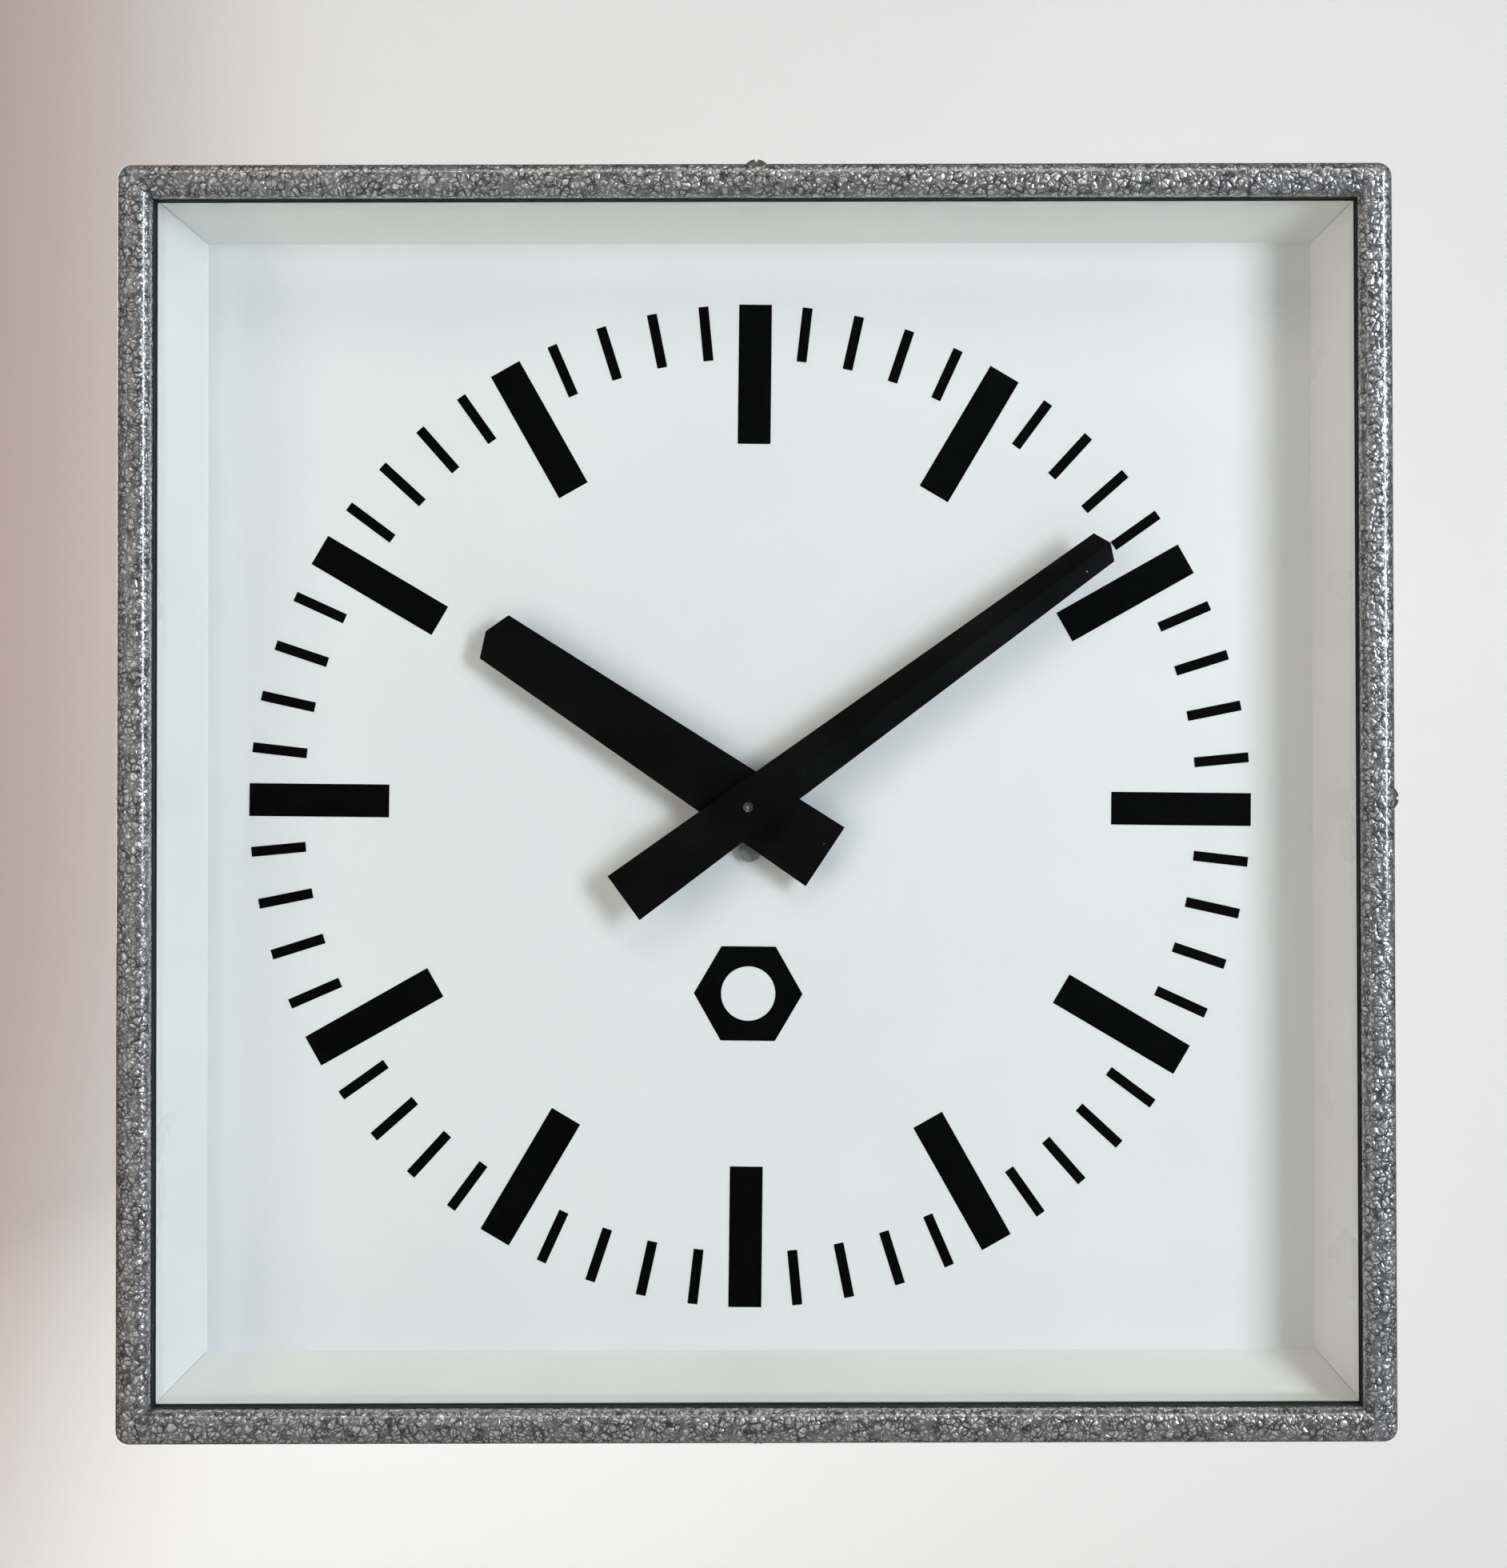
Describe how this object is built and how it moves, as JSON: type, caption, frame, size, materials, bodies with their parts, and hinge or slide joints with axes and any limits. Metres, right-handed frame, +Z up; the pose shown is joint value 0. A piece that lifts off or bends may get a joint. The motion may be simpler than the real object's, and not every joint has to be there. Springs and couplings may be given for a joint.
{
  "type": "wall clock",
  "caption": "Square wall clock: rounded metal frame, flat glass, deep white liner, bar-marked dial, two hands and a stepping impulse movement with its gear train.",
  "frame": {"origin": "middle of the case's back face, on the wall it hangs on", "axes": "+Z up, +X to the right of someone reading the dial, +Y into the wall; the dial faces -Y"},
  "size_m": [0.437, 0.084, 0.437],
  "materials": {
    "hammered_paint": "hammered grey lacquer, semi-gloss",
    "liner_enamel": "white stove enamel, semi-gloss",
    "dial_enamel": "white satin enamel",
    "ink": "black printing ink",
    "hand_paint": "aluminium painted satin black",
    "clear_glass": "clear float glass",
    "black_rubber": "matt",
    "zinc_steel": "zinc plated",
    "bright_steel": "turned and polished",
    "sheet_steel": "plain zinc-plated sheet",
    "brass": "turned and cut",
    "magnet": "sintered magnet, ground",
    "laminations": "stacked sheet iron",
    "bobbin_plastic": "moulded",
    "winding_tape": "varnished tape over enamelled wire",
    "bakelite": "moulded bakelite",
    "lead_sleeve": "insulating sleeve"
  },
  "bodies": {
    "case": {"front_frame": "hammered_paint", "back_panel": "hammered_paint", "case_wall_top": "hammered_paint", "case_wall_right": "hammered_paint", "case_wall_bottom": "hammered_paint", "case_wall_left": "hammered_paint", "liner_top": "liner_enamel", "liner_bottom": "liner_enamel", "liner_left": "liner_enamel", "liner_right": "liner_enamel", "dial_plate": "dial_enamel", "dial_markings": "ink", "glass_pane": "clear_glass", "glass_gasket": "black_rubber", "cable_grommet": "black_rubber", "frame_screws": "zinc_steel", "dial_screws": "zinc_steel", "dial_nuts": "zinc_steel", "movement_screws": "zinc_steel", "plate_screws": "zinc_steel", "pole_screws": "zinc_steel", "terminal_screws": "zinc_steel", "dial_brackets": "sheet_steel", "hanger_plate": "sheet_steel", "motion_stud": "bright_steel", "movement_pillars": "bright_steel", "movement_standoffs": "bright_steel", "movement_front_plate": "brass", "movement_back_plate": "brass", "front_bush": "brass", "back_bush": "brass", "pole_piece_left": "laminations", "pole_piece_right": "laminations", "coil_core": "laminations", "coil_bobbin": "bobbin_plastic", "coil_winding": "winding_tape", "terminal_block": "bakelite", "coil_leads": "lead_sleeve"},
    "minute_work": {"minute_hand": "hand_paint", "minute_hand_boss": "brass", "minute_arbor": "bright_steel", "cannon_pinion": "bright_steel", "centre_wheel": "brass"},
    "hour_work": {"hour_hand": "hand_paint", "hour_hand_boss": "brass", "hour_wheel": "brass"},
    "motion_work": {"motion_wheel": "brass", "motion_pinion": "bright_steel"},
    "step_work": {"step_arbor": "bright_steel", "step_wheel": "brass", "step_pinion": "bright_steel"},
    "rotor_work": {"rotor_arbor": "bright_steel", "rotor_pinion": "bright_steel", "rotor_magnet": "magnet"}
  },
  "joints": [
    {"name": "minute_spin", "type": "hinge", "parent": "case", "child": "minute_work", "pos_m": [-0.0036, -0.039, -0.0033], "axis": [0, 1, 0], "continuous": true},
    {"name": "hour_spin", "type": "hinge", "parent": "case", "child": "hour_work", "pos_m": [-0.0036, -0.049, -0.0033], "axis": [0, 1, 0], "continuous": true},
    {"name": "motion_spin", "type": "hinge", "parent": "case", "child": "motion_work", "pos_m": [-0.0036, -0.041, 0.0087], "axis": [0, 1, 0], "continuous": true},
    {"name": "step_spin", "type": "hinge", "parent": "case", "child": "step_work", "pos_m": [-0.0036, -0.027, -0.0213], "axis": [0, 1, 0], "continuous": true},
    {"name": "rotor_spin", "type": "hinge", "parent": "case", "child": "rotor_work", "pos_m": [-0.0036, -0.027, -0.0381], "axis": [0, 1, 0], "continuous": true}
  ],
  "couplings": [
    {"joint": "hour_spin", "follows": "minute_spin", "ratio": 0.083333},
    {"joint": "motion_spin", "follows": "minute_spin", "ratio": -0.33333},
    {"joint": "step_spin", "follows": "minute_spin", "ratio": -5},
    {"joint": "rotor_spin", "follows": "minute_spin", "ratio": 30}
  ]
}
